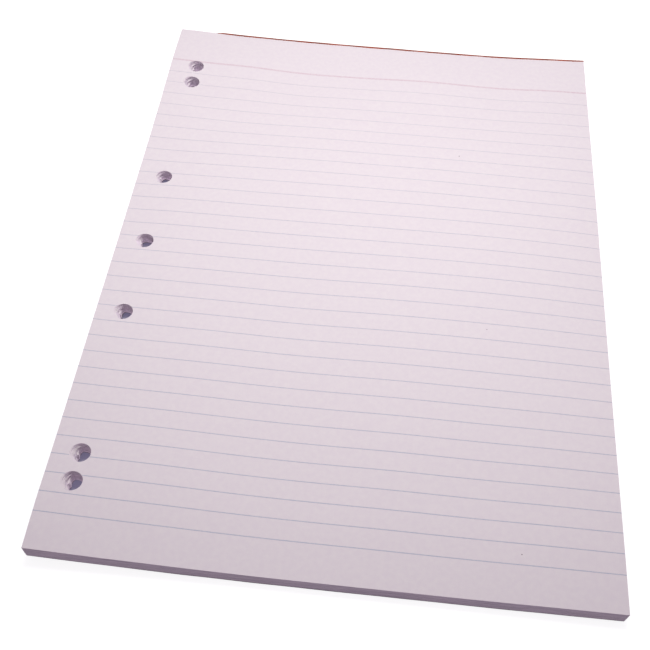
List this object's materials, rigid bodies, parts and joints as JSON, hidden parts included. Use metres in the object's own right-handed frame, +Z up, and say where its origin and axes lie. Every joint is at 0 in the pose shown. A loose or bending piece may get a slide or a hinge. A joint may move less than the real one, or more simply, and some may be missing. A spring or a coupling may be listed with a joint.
{
  "type": "legal pad",
  "caption": "A4 ruled writing pad, gummed at the head on a greyboard back and drilled through for ring binders.",
  "frame": {"origin": "bottom centre of the whole pad, on the surface that it lies on", "axes": "+Z up out of the page, +Y up the page towards the gummed head, -X towards the drilled edge"},
  "size_m": [0.21, 0.2974, 0.0097],
  "materials": {
    "paper": "uncoated, faintly toothed",
    "greyboard": "matt, flecked",
    "gum": "dried compound, satin",
    "blue_ink": "thin printed line",
    "pink_ink": "thin printed line"
  },
  "bodies": {
    "root": {"paper_block": "paper", "backing_board": "greyboard", "head_binding": "gum", "blue_rules": "blue_ink", "head_rule": "pink_ink"}
  },
  "joints": []
}
